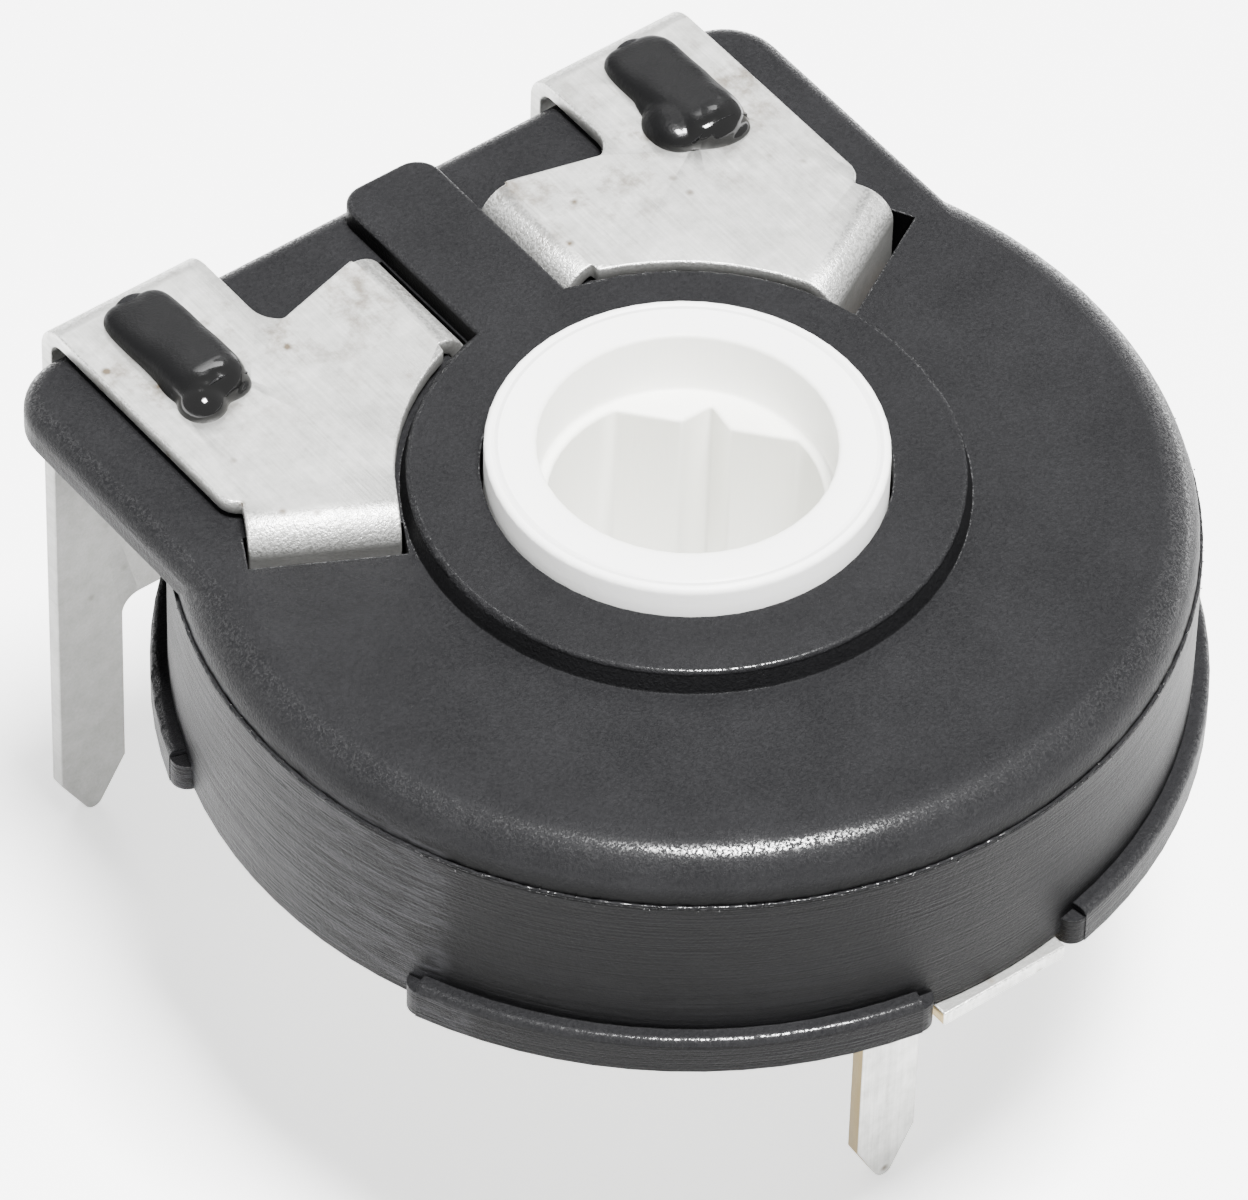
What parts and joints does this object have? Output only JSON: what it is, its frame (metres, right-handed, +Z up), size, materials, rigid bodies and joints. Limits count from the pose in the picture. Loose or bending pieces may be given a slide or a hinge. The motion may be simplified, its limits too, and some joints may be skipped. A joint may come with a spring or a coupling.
{
  "type": "trimmer potentiometer",
  "caption": "Round carbon trimmer potentiometer for flat board mounting, with a hollow white rotor, two folded end terminals and a wiper terminal.",
  "frame": {"origin": "on the rotor's axis, in the plane of the board's upper face, where the end terminals' shoulders seat", "axes": "+Z up along the rotor's axis, away from the board; +Y towards the two end terminals; -Y towards the wiper's terminal"},
  "size_m": [0.0144, 0.0151, 0.0108],
  "materials": {
    "housing": "fine-grained black moulded plastic, satin",
    "rotor": "white moulded plastic, satin",
    "spring_bronze": "bright bronze spring sheet",
    "element_board": "brown paper laminate with a black printed track",
    "tinned_brass": "satin tin plating over brass, with faint stains"
  },
  "bodies": {
    "body": {"housing": "housing", "resistive_element": "element_board", "contact_plate": "tinned_brass", "terminal_left": "tinned_brass", "terminal_right": "tinned_brass"},
    "rotor_set": {"rotor": "rotor", "wiper": "spring_bronze"}
  },
  "joints": [
    {"name": "rotor_turn", "type": "hinge", "parent": "body", "child": "rotor_set", "pos_m": [0, 0, 0.005], "axis": [0, 0, 1], "range_deg": [-263.5, 1.5]}
  ]
}
